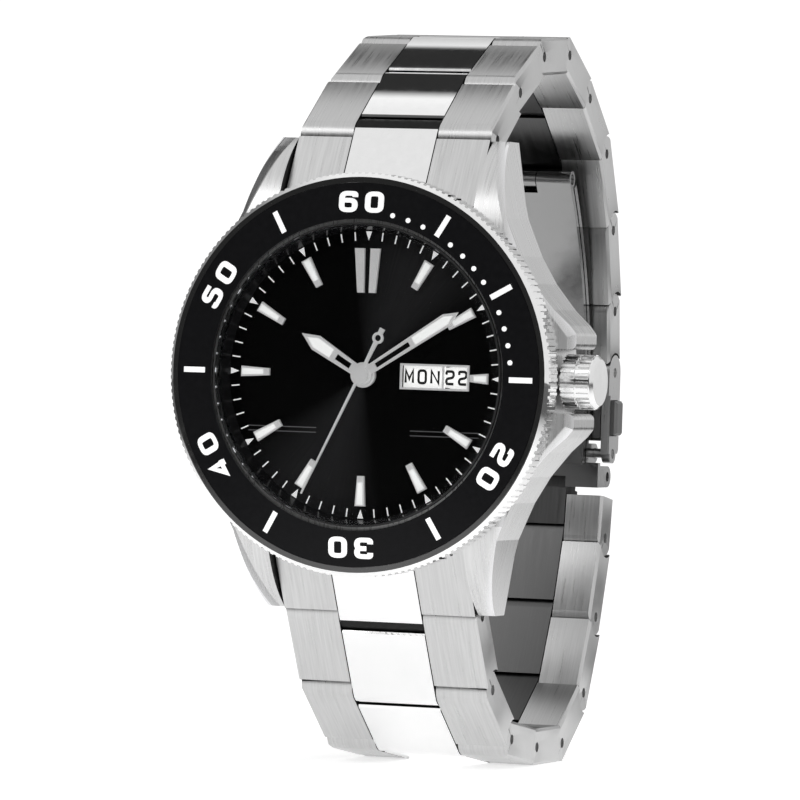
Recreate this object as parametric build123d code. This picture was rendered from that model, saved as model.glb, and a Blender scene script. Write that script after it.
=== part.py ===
from build123d import *
import math
import os

# Diver's wristwatch on a steel bracelet, closed as worn, in millimetres.
# +X points to 3 o'clock (the crown), +Z to 12 o'clock, and the dial faces -Y.
# The origin is the centre of the case back's outer face; the wrist is on the +Y side.

# ---- driving dimensions ----
CASE_R = 20.9            # barrel of the middle case
CASE_TOP_Y = -8.4        # top of the middle case, under the bezel
CASE_BOTTOM_Y = -0.9     # underside of the middle case, around the back
LUG_GAP = 22.1           # space between the lugs
LUG_TIP_Z = 25.2
BEZEL_R = 21.4
BEZEL_TEETH = 180
BEZEL_TOOTH_DEPTH = 0.15
CRYSTAL_R = 15.9
DIAL_R = 16.2
DIAL_TOP_Y = -9.4
DIAL_THICKNESS = 0.4
STEM_Y = -5.2            # height of the crown's axis
STEM_R = 0.6
CROWN_R = 2.9
CROWN_FLUTES = 28
CROWN_LENGTH = 3.6
GUARD_REACH = 22.9       # how far the crown guards stand out at 3 o'clock
GUARD_GAP = 3.4          # half of the space between the guards
GUARD_SLOPE_X = 19.5     # where the guards' tops begin to slope down
BACK_R = 17.5
MOVEMENT_R = 13.0
MARKER_HEIGHT = 0.35     # of the applied bars above the dial
MARKER_END_R = 13.9
HOUR_HAND_LENGTH = 8.2
MINUTE_HAND_LENGTH = 12.7
SECONDS_HAND_LENGTH = 14.2
SPRING_BAR_R = 0.75
SPRING_BAR_HALF_LENGTH = 12.2

LINK_PITCH = 9.4
LAST_LINK_PITCH = 7.0
LINK_THICKNESS = 4.0
FIRST_LINK_HALF_WIDTH = 10.85
LAST_LINK_HALF_WIDTH = 9.1
CENTRE_HALF_WIDTH = 4.7
SIDE_GAP = 0.12          # play between a centre piece and the outer pieces
SEAT_GAP = 0.25          # play around a knuckle
GROOVE_DEPTH = 0.7       # of the lines that mark off the centre of an end link
PIN_R = 0.55
PIN_PLAY = 0.06
PIN_RECESS = 0.35        # how far a pin's end sits below the link's side
KNUCKLE_TRIM = 1.2
EDGE_BEVEL = 0.3
END_BEVEL = 0.35         # across the end of a piece, on the outer face
DOWEL_R = 0.5

# Direction of each link, in degrees from straight up (or down) towards the wrist side.
END_LINK_SLOPE = 30
UPPER_SLOPES = [55, 63, 86, 118, 129, 155, 166, 174]
LOWER_SLOPES = [31, 53, 82, 90, 124, 153, 160, 172]
FIRST_PIN_Z = 25.4
FIRST_PIN_Y = -0.2

COVER_LENGTH = 9.2       # from the cover's bracelet pin to its blade pin
COVER_HALF_WIDTH = 9.1
BLADE_THICKNESS = 0.8
BLADE_HALF_WIDTH = 7.0
BLADE_LAYER_STEP = 1.1   # between the two nested blades
CLASP_HUB_R = 1.1
BLADE_HUB_R = 0.95
BLADE_ARC_R = 48.0       # the blades curve with the wrist, about this centre
ARC_CENTRE_Y = -2.8
ARC_CENTRE_Z = -4.0
BLADE_HINGE_Z = 22.3
ARM_FOOT_Y = 44.75       # inner face of the outer blade at its cover pin
RELIEF_HALF_WIDTH = 4.85 # of the cut in the outer blade's foot, around the lower row's centre

LINK_R = LINK_THICKNESS / 2
OUTER_START = CENTRE_HALF_WIDTH + SIDE_GAP
FAR = 60                 # longer than anything that it cuts


# ---- shape helpers ----
def cyl_y(radius, y0, y1, x=0.0, z=0.0):
    height = abs(y1 - y0)
    return Pos(x, (y0 + y1) / 2, z) * Cylinder(radius, height, rotation=(90, 0, 0))


def cyl_x(radius, x0, x1, y=0.0, z=0.0):
    height = abs(x1 - x0)
    return Pos((x0 + x1) / 2, y, z) * Cylinder(radius, height, rotation=(0, 90, 0))


def block(x0, x1, y0, y1, z0, z1):
    centre = Pos((x0 + x1) / 2, (y0 + y1) / 2, (z0 + z1) / 2)
    return centre * Box(x1 - x0, y1 - y0, z1 - z0)


def ring_y(outer, inner, y0, y1, x=0.0, z=0.0):
    return cyl_y(outer, y0, y1, x, z) - cyl_y(inner, y0 - 1, y1 + 1, x, z)


def turned(*points):
    """A ring turned about the Y axis from (radius, y) points."""
    return revolve(Polygon(*points), Axis.Y)


def slab_x(profile, x0, x1):
    """Extrude a (y, z) profile from x0 to x1."""
    return Pos(x0, 0, 0) * extrude(Plane.YZ * profile, amount=x1 - x0, dir=(1, 0, 0))


def slab_y(profile, y0, y1):
    """Extrude an (x, z) profile from y0 to y1."""
    return Pos(0, y0, 0) * extrude(Plane.XZ * profile, amount=y1 - y0, dir=(0, 1, 0))


def toothed(radius, depth, count):
    """A disc outline with small flat-topped teeth."""
    points = []
    for i in range(count):
        for part, offset in ((0.0, 0.0), (0.42, 0.0), (0.5, -depth), (0.92, -depth)):
            angle = 2 * math.pi * (i + part) / count
            points.append(((radius + offset) * math.cos(angle), (radius + offset) * math.sin(angle)))
    return Polygon(*points)


def save(name, *solids):
    shape = solids[0] if len(solids) == 1 else Compound(children=list(solids))
    export_step(shape, "parts/" + name + ".step")


def first_solid(shape):
    """The largest solid of a shape, without the slivers that a cut may leave."""
    return max(shape.solids(), key=lambda solid: solid.volume)


def both_sides(solid):
    return [solid, mirror(solid, Plane.YZ)]


# ---- case ----
def crown_guard(*depth):
    """The upper crown guard: a flowing shoulder with a rounded tip and a sloping top."""
    tip_x = GUARD_REACH
    outline = Polygon((14, 11), (16.6, 13.03), (18.3, 10.2), (20.5, 7.5), (22.2, 5.9), (tip_x, 5.0),
                      (tip_x, GUARD_GAP), (15, GUARD_GAP))
    guard = slab_y(outline, *depth)
    tips = [edge for edge in guard.edges().filter_by(Axis.Y) if edge.center().X > tip_x - 0.01]
    guard = fillet(tips, 0.6)
    slope = extrude(Polygon((GUARD_SLOPE_X, CASE_TOP_Y - 2), (30, CASE_TOP_Y - 2), (30, -6.0),
                            (GUARD_SLOPE_X, CASE_TOP_Y)), amount=FAR)
    return guard - slope


def case_plan():
    """The barrel with a lug at each corner and the two crown guards, as one upright block."""
    depth = (-9, 2)
    plan = cyl_y(CASE_R, *depth)
    lug = slab_y(Polygon((5, 12), (LUG_GAP / 2, 14.6), (LUG_GAP / 2, LUG_TIP_Z), (12.9, LUG_TIP_Z),
                         (14.9, 17), (17.9, 10), (15, 8)), *depth)
    for upper in (lug, mirror(lug, Plane.YZ), crown_guard(*depth)):
        plan = plan + upper + mirror(upper, Plane.XY)
    return plan


def case_side():
    """Side profile: flat top, lugs arching down to the wrist side."""
    top = Line((CASE_TOP_Y, -15.5), (CASE_TOP_Y, 15.5))
    upper = ThreePointArc((CASE_TOP_Y, 15.5), (-5.9, 21.6), (-2.0, LUG_TIP_Z))
    tip = Line((-2.0, LUG_TIP_Z), (0.9, LUG_TIP_Z))
    under = ThreePointArc((0.9, LUG_TIP_Z), (-0.1, 21.5), (CASE_BOTTOM_Y, 18.6))
    bottom = Line((CASE_BOTTOM_Y, 18.6), (CASE_BOTTOM_Y, -18.6))
    under2 = ThreePointArc((CASE_BOTTOM_Y, -18.6), (-0.1, -21.5), (0.9, -LUG_TIP_Z))
    tip2 = Line((0.9, -LUG_TIP_Z), (-2.0, -LUG_TIP_Z))
    upper2 = ThreePointArc((-2.0, -LUG_TIP_Z), (-5.9, -21.6), (CASE_TOP_Y, -15.5))
    return make_face(top + upper + tip + under + bottom + under2 + tip2 + upper2)


def lug_gap_cutter(sign):
    gap = block(-LUG_GAP / 2, LUG_GAP / 2, -12, 4, 14, 30) - cyl_y(CASE_R, -13, 5)
    return gap if sign > 0 else mirror(gap, Plane.XY)


def spring_bar_place(sign):
    back_along_slope = 4.0
    slope = math.radians(END_LINK_SLOPE)
    z = FIRST_PIN_Z - back_along_slope * math.cos(slope)
    y = FIRST_PIN_Y - back_along_slope * math.sin(slope)
    return y, sign * z


def mid_case():
    body = first_solid(case_plan() & slab_x(case_side(), -FAR, FAR))
    body = first_solid(body - lug_gap_cutter(1))
    body = first_solid(body - lug_gap_cutter(-1))
    body -= cyl_y(DIAL_R, -12, 3)
    body = first_solid(body + ring_y(17.0, 16.1, -11.5, -8.1))
    body -= cyl_y(DIAL_R, DIAL_TOP_Y, 3)
    body -= cyl_y(17.0, -8.0, 3)
    body -= cyl_y(BACK_R, -1.7, 3)
    body -= ring_y(19.2, 18.0, -8.0, -9.0)
    body -= cyl_x(1.2, 15, 23, STEM_Y)
    body -= cyl_x(CROWN_R + 0.35, CASE_R + 0.15, 30, STEM_Y)
    for sign in (1, -1):
        y, z = spring_bar_place(sign)
        body -= cyl_x(SPRING_BAR_R, -SPRING_BAR_HALF_LENGTH, SPRING_BAR_HALF_LENGTH, y, z)
    return first_solid(body)


def case_parts():
    save("mid_case", mid_case())
    tube = cyl_x(1.2, 17.2, 22.4, STEM_Y) - cyl_x(STEM_R + 0.15, 15, 24, STEM_Y)
    save("crown_tube", tube)
    save("crystal", turned((0, -12.65), (15.4, -12.65), (CRYSTAL_R, -12.3), (CRYSTAL_R, -11.2), (0, -11.2)))
    save("crystal_gasket", ring_y(16.1, CRYSTAL_R, -12.0, -11.2))
    save("rehaut_ring", turned((15.3, DIAL_TOP_Y), (15.75, -11.2), (16.1, -11.2), (16.1, DIAL_TOP_Y)))
    save("bezel_click_spring", click_spring())
    save("case_back_ring", turned((12.5, -1.6), (13.2, 0), (16.9, 0), (BACK_R, -0.6), (BACK_R, -1.7),
                                  (16.4, -1.7), (16.4, -1.2), (15.6, -1.2), (15.6, -1.7), (12.5, -1.7)))
    save("case_back_gasket", ring_y(16.4, 15.6, -1.7, -1.2))
    save("case_back_glass", turned((0, -0.6), (12.93, -0.6), (12.5, -1.6), (0, -1.6)))


def click_spring():
    spring = ring_y(18.9, 18.3, -8.3, -8.1)
    spring -= block(-FAR, 0, -9, -8, -2, 2)
    return first_solid(spring)


# ---- dial and display ----
def window_outline(grow):
    return Pos(7.9, 0) * Rectangle(7.3 + 2 * grow, 2.3 + 2 * grow)


def dial_parts():
    top = DIAL_TOP_Y
    dial = cyl_y(DIAL_R, top, top + DIAL_THICKNESS) - cyl_y(1.3, top - 1, top + 1)
    dial -= slab_y(window_outline(0), top - 1, top + 1)
    save("dial", dial)
    frame = slab_y(window_outline(0.22) - window_outline(0), top - 0.18, top)
    frame += block(8.75, 8.95, top - 0.18, top, -1.15, 1.15)
    save("date_window_frame", first_solid(frame))
    markers = []
    for hour in (1, 2, 4, 5, 6, 7, 8, 9, 10, 11):
        markers.append(hour_marker(hour, 10.7))
    markers.append(hour_marker(3, 11.9))
    markers += twelve_marker()
    save("hour_markers", *markers)


def hour_marker(hour, inner):
    """A tapered bar standing on the dial, wider at its outer end."""
    outline = Polygon((-0.37, inner), (0.37, inner), (0.56, MARKER_END_R), (-0.56, MARKER_END_R))
    bar = slab_y(outline, DIAL_TOP_Y - MARKER_HEIGHT, DIAL_TOP_Y)
    return first_solid(Rot(0, 30 * hour, 0) * bar)


def twelve_marker():
    """Two tall bars side by side under the 12 o'clock mark."""
    outline = Polygon((0.28, 8.7), (1.02, 8.7), (1.42, 13.4), (0.34, 13.4))
    bar = slab_y(outline, DIAL_TOP_Y - MARKER_HEIGHT, DIAL_TOP_Y)
    return both_sides(first_solid(bar))


def date_discs():
    save("date_disc", ring_y(12.7, 9.0, -8.75, -8.5))
    save("day_disc", ring_y(8.85, 4.0, -8.75, -8.5))


# ---- movement ----
BALANCE_X, BALANCE_Z = -6.4, -5.4
FORK_X, FORK_Z = -3.2, -8.0
ESCAPE_X, ESCAPE_Z = -0.2, -9.2
JEWEL_R = 0.3
PIVOT_R = 0.25


def movement_frame():
    plate = cyl_y(MOVEMENT_R, -7.6, -6.4) - cyl_y(1.1, -9, -5)
    plate += ring_y(3.9, 1.1, -8.7, -7.6)
    bridge = cyl_y(MOVEMENT_R, -3.9, -3.1) - block(1.5, FAR, -5, -2, -3.2, FAR)
    for x, z in ((BALANCE_X, BALANCE_Z), (FORK_X, FORK_Z), (ESCAPE_X, ESCAPE_Z)):
        hole = cyl_y(JEWEL_R, -9, -2, x, z)
        plate -= hole
        bridge -= hole
    posts = []
    for angle in (100, 190, 310):
        x = 12.0 * math.cos(math.radians(angle))
        z = 12.0 * math.sin(math.radians(angle))
        posts.append(cyl_y(0.7, -6.4, -3.9, x, z))
    bridge += posts[0] + posts[1] + posts[2]
    save("main_plate", first_solid(plate))
    save("train_bridge", first_solid(bridge))
    holder = ring_y(17.0, MOVEMENT_R, -8.0, -3.0) + ring_y(16.1, MOVEMENT_R, -9.0, -8.0)
    holder -= cyl_x(STEM_R + 0.15, 10, 20, STEM_Y)
    save("movement_holder", first_solid(holder))


def arbor(y0, y1, x, z):
    return cyl_y(0.45, y0, y1, x, z) + cyl_y(PIVOT_R, y0 - 0.7, y1 + 0.5, x, z)


def spoked_wheel(radius, rim, spokes, y0, y1, x, z):
    wheel = ring_y(radius, radius - rim, y0, y1, x, z) + cyl_y(0.8, y0, y1, x, z)
    for i in range(spokes):
        arm = block(0, radius - rim / 2, y0, y1, -0.25, 0.25)
        wheel += Pos(x, 0, z) * (Rot(0, 360 * i / spokes, 0) * arm)
    return wheel


def escape_wheel():
    """A wheel with raked pointed teeth."""
    points = []
    teeth = 15
    for i in range(teeth):
        for turn, radius in ((0.0, 1.45), (0.28, 1.9), (0.36, 1.5)):
            angle = 2 * math.pi * (i + turn) / teeth
            points.append((ESCAPE_X + radius * math.cos(angle), ESCAPE_Z + radius * math.sin(angle)))
    wheel = slab_y(Polygon(*points), -5.9, -5.6)
    return wheel + arbor(-6.3, -4.0, ESCAPE_X, ESCAPE_Z)


def pallet_fork():
    dx, dz = BALANCE_X - FORK_X, BALANCE_Z - FORK_Z
    reach = math.hypot(dx, dz) - 1.1
    angle = math.degrees(math.atan2(dz, dx))
    lever = Rectangle(0.5, 0.5) + Pos(reach / 2, 0) * Rectangle(reach, 0.4)
    lever += Pos(-0.3, 0) * Rectangle(0.5, 2.0)
    fork = slab_y(Pos(FORK_X, FORK_Z) * (Rot(0, 0, angle) * lever), -5.9, -5.6)
    return fork + arbor(-6.3, -4.0, FORK_X, FORK_Z)


def movement_moving_parts():
    balance = spoked_wheel(3.4, 0.5, 3, -4.9, -4.5, BALANCE_X, BALANCE_Z)
    save("balance_wheel", first_solid(balance + arbor(-6.3, -4.0, BALANCE_X, BALANCE_Z)))
    save("pallet_fork", first_solid(pallet_fork()))
    save("escape_wheel", first_solid(escape_wheel()))
    rotor = ring_y(12.3, 10.2, -2.8, -1.8) + cyl_y(10.4, -2.8, -2.4)
    rotor -= block(-FAR, FAR, -4, 0, 1.6, FAR)
    rotor += cyl_y(2.4, -2.8, -2.0)
    rotor -= cyl_y(1.0, -4, 0)
    save("rotor", first_solid(rotor))
    post = cyl_y(0.95, -3.1, -1.8) + cyl_y(1.8, -1.95, -1.75)
    post += cyl_y(1.8, -3.1, -2.9)
    save("rotor_post", first_solid(post))


# ---- hands ----
def pointed_hand(length, half_width, hub_r, slot_from, slot_to):
    """A parallel blade with a pointed tip and an open slot near the hub."""
    shoulder = length - 2.2 * half_width
    blade = Polygon((-half_width * 0.7, 0), (half_width * 0.7, 0), (half_width, shoulder),
                    (0, length), (-half_width, shoulder))
    slot = Pos(0, (slot_from + slot_to) / 2) * Rectangle(half_width * 0.75, slot_to - slot_from)
    return blade + Circle(hub_r) - slot


def hands():
    hour = slab_y(pointed_hand(HOUR_HAND_LENGTH, 0.85, 1.35, 1.7, 3.6), -10.0, -9.8)
    hour = hour + cyl_y(1.0, -9.8, -7.9) - cyl_y(0.75, -12, -5)
    save("hour_hand", first_solid(Rot(0, -59, 0) * hour))
    minute = slab_y(pointed_hand(MINUTE_HAND_LENGTH, 0.72, 1.2, 1.9, 6.3), -10.5, -10.3)
    minute = minute + cyl_y(0.7, -10.3, -6.7) - cyl_y(0.4, -12, -5)
    save("minute_hand", first_solid(Rot(0, 57, 0) * minute))
    tip = SECONDS_HAND_LENGTH
    needle = Polygon((-0.17, -2.4), (0.17, -2.4), (0.08, tip), (-0.08, tip)) + Circle(0.95)
    needle += Polygon((-0.16, -1.0), (0.16, -1.0), (0.3, -5.5), (-0.3, -5.5)) + Pos(0, -4.4) * Circle(0.62)
    needle -= Pos(0, -4.4) * Circle(0.34)
    second = slab_y(needle, -11.0, -10.8) + cyl_y(0.36, -10.8, -6.0)
    save("seconds_hand", first_solid(Rot(0, 206, 0) * second))


# ---- bezel ----
def bezel():
    ring = turned((17.1, -8.5), (BEZEL_R - 0.4, -8.5), (BEZEL_R, -8.9), (BEZEL_R, -11.2),
                  (BEZEL_R - 0.5, -11.75), (20.35, -11.75), (20.35, -11.1), (17.1, -11.1))
    grip = turned((0, -8.5), (FAR, -8.5), (FAR, -11.2), (BEZEL_R - 0.6, -11.75), (0, -11.75))
    ring = ring & (slab_y(toothed(BEZEL_R, BEZEL_TOOTH_DEPTH, BEZEL_TEETH), -13, -8) & grip)
    save("bezel_ring", first_solid(ring))
    insert = turned((16.45, -12.2), (20.3, -11.8), (20.3, -11.1), (17.1, -11.1), (17.1, -11.65),
                    (16.45, -11.65))
    save("bezel_insert", insert)


# ---- crown ----
def crown_parts():
    start = CASE_R + 0.4
    end = start + CROWN_LENGTH
    flute_depth = 0.22
    fluted = extrude(toothed(CROWN_R, flute_depth, CROWN_FLUTES), amount=CROWN_LENGTH - 0.5)
    flutes = Pos(start, STEM_Y, 0) * (Rot(0, 90, 0) * fluted)
    cap = cyl_x(CROWN_R - 0.1, end - 0.5, end, STEM_Y)
    cap = chamfer(cap.faces().sort_by(Axis.X)[-1].edges(), 0.35)
    crown = flutes + cap
    waist = cyl_x(CROWN_R + 1, start + 1.5, start + 1.75, STEM_Y)
    crown -= waist - cyl_x(CROWN_R - flute_depth, start, end, STEM_Y)
    crown -= cyl_x(1.5, start - 1, start + 1.5, STEM_Y)
    crown -= cyl_x(STEM_R, start - 1, start + 2.8, STEM_Y)
    save("crown", first_solid(crown))
    stem = cyl_x(STEM_R, 7.0, start + 2.8, STEM_Y) - (
        cyl_x(1, 8.0, 8.8, STEM_Y) - cyl_x(0.4, 7, 10, STEM_Y))
    save("crown_stem", first_solid(stem))
    gasket = cyl_x(1.5, start + 0.5, start + 1.0, STEM_Y) - cyl_x(1.26, start, start + 2, STEM_Y)
    save("crown_gasket", gasket)
    lever = cyl_x(1.0, 8.1, 8.7, STEM_Y) - cyl_x(0.45, 7, 10, STEM_Y)
    lever += block(8.1, 8.7, STEM_Y - 0.3, STEM_Y + 0.3, 0.8, 3.0)
    save("setting_lever", first_solid(lever))


# ---- bracelet ----
def place_on_side(shape, sign, slope, pin_y, pin_z):
    """Turn a link built along +Z, wrist side +Y, to its place on the loop."""
    if sign < 0:
        shape = Rot(0, 180, 0) * shape
    return Pos(0, pin_y, pin_z) * (Rot(-sign * slope, 0, 0) * shape)


def pin_places(sign, slopes):
    """Pin centres (y, z) from the lug outwards; one more than there are links."""
    places = [(FIRST_PIN_Y, sign * FIRST_PIN_Z)]
    for index, slope in enumerate(slopes):
        pitch = LINK_PITCH if index < len(slopes) - 1 else LAST_LINK_PITCH
        y, z = places[-1]
        angle = math.radians(slope)
        places.append((y + pitch * math.sin(angle), z + sign * pitch * math.cos(angle)))
    return places


def end_bevel(z, toward):
    """The corner to cut from a link's outer face at height z; toward is +1 or -1 along the link."""
    deep = -LINK_R + END_BEVEL
    past = -LINK_R - END_BEVEL
    return Polygon((deep, z), (past, z), (past, z - 2 * toward * END_BEVEL))


def outer_profile(length, trim=KNUCKLE_TRIM):
    body = Circle(LINK_R) + Pos(0, length / 2) * Rectangle(LINK_THICKNESS, length)
    body -= Pos(0, length) * Circle(LINK_R + SEAT_GAP)
    body -= Pos(0, length + 5 - trim) * Rectangle(10, 10)
    return body - end_bevel(length - trim, 1)


def centre_profile(length, nose_r=LINK_R):
    body = Pos(0, length / 2) * Rectangle(LINK_THICKNESS, length)
    body -= Circle(LINK_R + SEAT_GAP)
    body -= Pos(0, KNUCKLE_TRIM - 5) * Rectangle(10, 10)
    body -= end_bevel(KNUCKLE_TRIM, -1)
    if nose_r < LINK_R:
        body -= Pos(0, length + 5 - nose_r - 0.4) * Rectangle(10, 10)
        body += Pos(0, length - 1) * Rectangle(2 * nose_r, 2)
    body += Pos(0, length) * Circle(nose_r)
    return body - Pos(0, length) * Circle(PIN_R + PIN_PLAY)


def outer_piece(profile, half_width):
    """An outer piece with its long outside edges bevelled."""
    bevel = EDGE_BEVEL
    face_y = LINK_R
    section = Polygon((OUTER_START, -face_y), (half_width - bevel, -face_y), (half_width, bevel - face_y),
                      (half_width, face_y - bevel), (half_width - bevel, face_y), (OUTER_START, face_y))
    envelope = Pos(0, 0, -FAR / 2) * extrude(section, amount=FAR, dir=(0, 0, 1))
    return slab_x(profile, OUTER_START, half_width) & envelope


def link_solids(half_width, length, last_nose=LINK_R, trim=KNUCKLE_TRIM):
    """Two outer pieces, a centre piece, the hinge pin and the row's dowel."""
    outer = outer_piece(outer_profile(length, trim), half_width)
    centre = slab_x(centre_profile(length, last_nose), -CENTRE_HALF_WIDTH, CENTRE_HALF_WIDTH)
    dowel_z = length * 0.55
    dowel_end = OUTER_START + 2.2
    dowel = cyl_x(DOWEL_R, -dowel_end, dowel_end, 0, dowel_z)
    pin = cyl_x(PIN_R, -half_width + PIN_RECESS, half_width - PIN_RECESS)
    outer -= cyl_x(PIN_R, 0, half_width + 1) + cyl_x(DOWEL_R, 0, dowel_end, 0, dowel_z)
    centre -= cyl_x(DOWEL_R, -CENTRE_HALF_WIDTH, CENTRE_HALF_WIDTH, 0, dowel_z)
    return both_sides(first_solid(outer)) + [first_solid(centre), first_solid(pin), first_solid(dowel)]


def half_width_of(index):
    share = index / (len(UPPER_SLOPES) - 1)
    return FIRST_LINK_HALF_WIDTH + share * (LAST_LINK_HALF_WIDTH - FIRST_LINK_HALF_WIDTH)


def bracelet_side(name, sign, slopes):
    places = pin_places(sign, slopes)
    last = len(slopes) - 1
    for index, slope in enumerate(slopes):
        length = LINK_PITCH if index < last else LAST_LINK_PITCH
        nose, trim = LINK_R, KNUCKLE_TRIM
        if index == last and sign < 0:
            nose, trim = CLASP_HUB_R + 0.1, 2.4
        solids = link_solids(half_width_of(index), length, nose, trim)
        y, z = places[index]
        placed = [place_on_side(solid, sign, slope, y, z) for solid in solids]
        if index == last and sign < 0:
            y, z = places[-1]
            placed.append(cyl_x(PIN_R + PIN_PLAY, -CENTRE_HALF_WIDTH, CENTRE_HALF_WIDTH, y, z))
        save(name + "_row_" + str(index + 1), *placed)


def end_links():
    solids = []
    reach = 9.5
    for sign in (1, -1):
        start = Pos(0, -reach / 2) * Rectangle(LINK_THICKNESS, reach)
        seat = Circle(LINK_R + SEAT_GAP) + Pos(0, 5 - KNUCKLE_TRIM) * Rectangle(10, 10)
        sides = slab_x(start - seat, -FIRST_LINK_HALF_WIDTH, FIRST_LINK_HALF_WIDTH)
        nose = slab_x(start + Circle(LINK_R), -CENTRE_HALF_WIDTH, CENTRE_HALF_WIDTH)
        nose -= cyl_x(PIN_R + PIN_PLAY, -FAR, FAR)
        groove = block(CENTRE_HALF_WIDTH, OUTER_START, -LINK_R - 1, GROOVE_DEPTH - LINK_R, -FAR, FAR)
        whole = sides + nose - groove - mirror(groove, Plane.YZ)
        link = place_on_side(whole, sign, END_LINK_SLOPE, FIRST_PIN_Y, sign * FIRST_PIN_Z)
        y, z = spring_bar_place(sign)
        link -= cyl_x(SPRING_BAR_R, -FAR, FAR, y, z)
        link -= cyl_y(CASE_R, -20, 20)
        link -= block(-FAR, FAR, -20, CASE_TOP_Y, -FAR, FAR)
        solids.append(first_solid(link))
    save("end_links", *solids)
    bars = []
    for sign in (1, -1):
        y, z = spring_bar_place(sign)
        bars.append(first_solid(cyl_x(SPRING_BAR_R, -SPRING_BAR_HALF_LENGTH, SPRING_BAR_HALF_LENGTH, y, z)))
    save("spring_bars", *bars)


# ---- clasp ----
def clasp_points():
    """(y, z) of the cover's pin on the upper bracelet half, and of its blade pin."""
    cover_y, cover_z = pin_places(1, UPPER_SLOPES)[-1]
    return (cover_y, cover_z), (cover_y, cover_z - COVER_LENGTH)


def clasp_cover():
    cover_y, cover_z = clasp_points()[0]
    length = COVER_LENGTH
    half = COVER_HALF_WIDTH
    ears = Circle(LINK_R) + Pos(0, 1.3) * Rectangle(LINK_THICKNESS, 2.6)
    plate = Pos(-1.65, 4.0) * Rectangle(0.7, 7.6)
    wall = Pos(-0.3, length / 2) * Rectangle(3.4, length) + Pos(0, length) * Circle(CLASP_HUB_R)
    wall -= Pos(-1.5 - CLASP_HUB_R, length + 0.4) * Circle(1.0)
    cover = slab_x(ears, OUTER_START, half) + slab_x(ears, -half, -OUTER_START)
    cover += slab_x(plate - Circle(LINK_R + SEAT_GAP), -half, half)
    cover += slab_x(wall, half - 1.0, half) + slab_x(wall, -half, -half + 1.0)
    for side in (1, -1):
        window = block(-3, 3, -1.3, 1.3, 3.1, 7.2)
        cover -= Pos(side * half, 0, 0) * window
    cover -= cyl_x(PIN_R, -half - 1, half + 1)
    cover -= cyl_x(PIN_R, -half - 1, half + 1, 0, length)
    pins = [cyl_x(PIN_R, -half + PIN_RECESS, half - PIN_RECESS, 0, z) for z in (0, length)]
    placed = [place_on_side(shape, 1, 180, cover_y, cover_z) for shape in [cover] + pins]
    save("clasp_cover", *[first_solid(shape) for shape in placed])
    for name, side in (("push_button_right", 1), ("push_button_left", -1)):
        button = block(7.6, half + 0.75, -1.2, 1.2, 3.2, 7.1)
        button = chamfer(button.faces().sort_by(Axis.X)[-1].edges(), 0.3)
        button += block(7.2, 8.0, -1.2, 1.6, 2.9, 7.4)
        if side < 0:
            button = mirror(button, Plane.YZ)
        save(name, first_solid(place_on_side(button, 1, 180, cover_y, cover_z)))


def blade_wedge(from_z, to_angle):
    """The sector of the blade arc from a height up to an angle, as a cutting outline."""
    start = math.asin((from_z - ARC_CENTRE_Z) / BLADE_ARC_R)
    centre = (ARC_CENTRE_Y, ARC_CENTRE_Z)
    corners = [centre]
    for angle in (start, to_angle):
        corners.append((ARC_CENTRE_Y + 2 * BLADE_ARC_R * math.cos(angle),
                        ARC_CENTRE_Z + 2 * BLADE_ARC_R * math.sin(angle)))
    return Polygon(*corners)


def blade_band(layer):
    radius = BLADE_ARC_R - layer * BLADE_LAYER_STEP
    band = Circle(radius + BLADE_THICKNESS / 2) - Circle(radius - BLADE_THICKNESS / 2)
    return Pos(ARC_CENTRE_Y, ARC_CENTRE_Z) * band


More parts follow.
